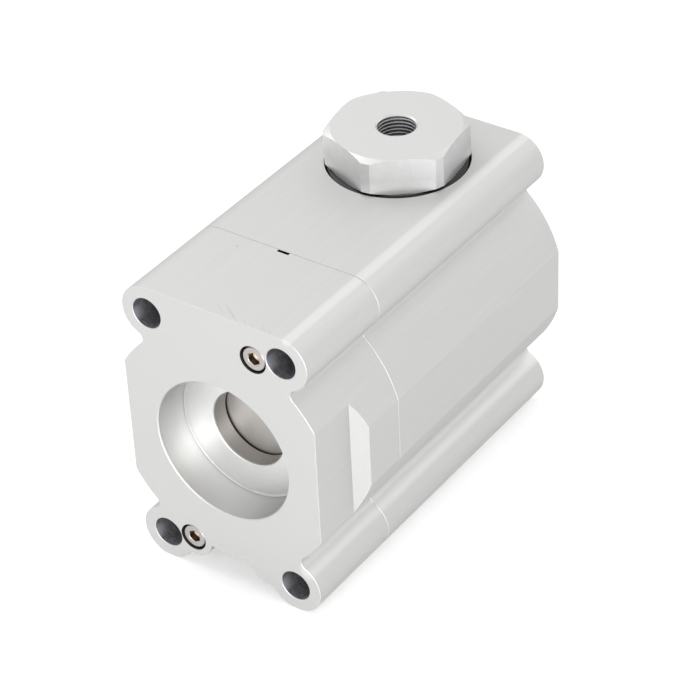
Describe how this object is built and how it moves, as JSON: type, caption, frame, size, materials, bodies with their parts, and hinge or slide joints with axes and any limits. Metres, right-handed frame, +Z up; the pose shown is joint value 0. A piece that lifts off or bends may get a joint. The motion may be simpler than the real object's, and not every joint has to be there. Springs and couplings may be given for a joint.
{
  "type": "pressure regulator valve",
  "caption": "Inline pneumatic pressure regulator valve: split aluminium housing with a bolt-through flange form, spring-closed steel piston, and a hex cap over its pilot valve.",
  "frame": {"origin": "centre of the inlet port, on the front face", "axes": "+X to the right, +Y along the flow into the valve, +Z up through the hex cap"},
  "size_m": [0.084, 0.1397, 0.1226],
  "materials": {
    "housing_aluminium": "fine satin, clear anodised",
    "cap_aluminium": "turned and milled, clear anodised",
    "guide_aluminium": "turned",
    "stainless_steel": "fine turned",
    "screw_steel": "stainless, as rolled",
    "pin_steel": "ground",
    "spring_steel": "drawn wire",
    "turned_brass": "turned",
    "guide_plastic": "filled PTFE, machined",
    "seal_rubber": "moulded nitrile, slightly glossy"
  },
  "bodies": {
    "housing": {"front_housing": "housing_aluminium", "rear_housing": "housing_aluminium", "housing_seal": "seal_rubber", "clamp_screw_upper": "screw_steel", "clamp_screw_lower": "screw_steel", "alignment_pin_upper": "pin_steel", "alignment_pin_lower": "pin_steel", "seat_ring": "stainless_steel", "seat_ring_seal": "seal_rubber", "main_spring": "spring_steel", "guide_body": "guide_aluminium", "pilot_tube": "stainless_steel", "tube_lower_seal": "seal_rubber", "tube_upper_seal": "seal_rubber", "pilot_body": "turned_brass", "pilot_body_seal": "seal_rubber", "pilot_spring": "spring_steel", "spring_shim": "spring_steel", "hex_cap": "cap_aluminium", "cap_seal": "seal_rubber"},
    "piston": {"valve_piston": "stainless_steel", "poppet_seal": "seal_rubber", "orifice_jet": "turned_brass", "guide_ring_front": "guide_plastic", "guide_ring_rear": "guide_plastic", "piston_seal": "seal_rubber"},
    "pilot": {"pilot_poppet": "stainless_steel", "pilot_poppet_seal": "seal_rubber"}
  },
  "joints": [
    {"name": "piston_travel", "type": "slide", "parent": "housing", "child": "piston", "axis": [0, 1, 0], "range_m": [0, 0.007], "stiffness_N_per_m": 1500, "springref_m": -0.006, "deforming": ["main_spring"]},
    {"name": "pilot_travel", "type": "slide", "parent": "housing", "child": "pilot", "axis": [0, 0, 1], "range_m": [0, 0.002], "stiffness_N_per_m": 4000, "springref_m": -0.002, "deforming": ["pilot_spring"]}
  ]
}
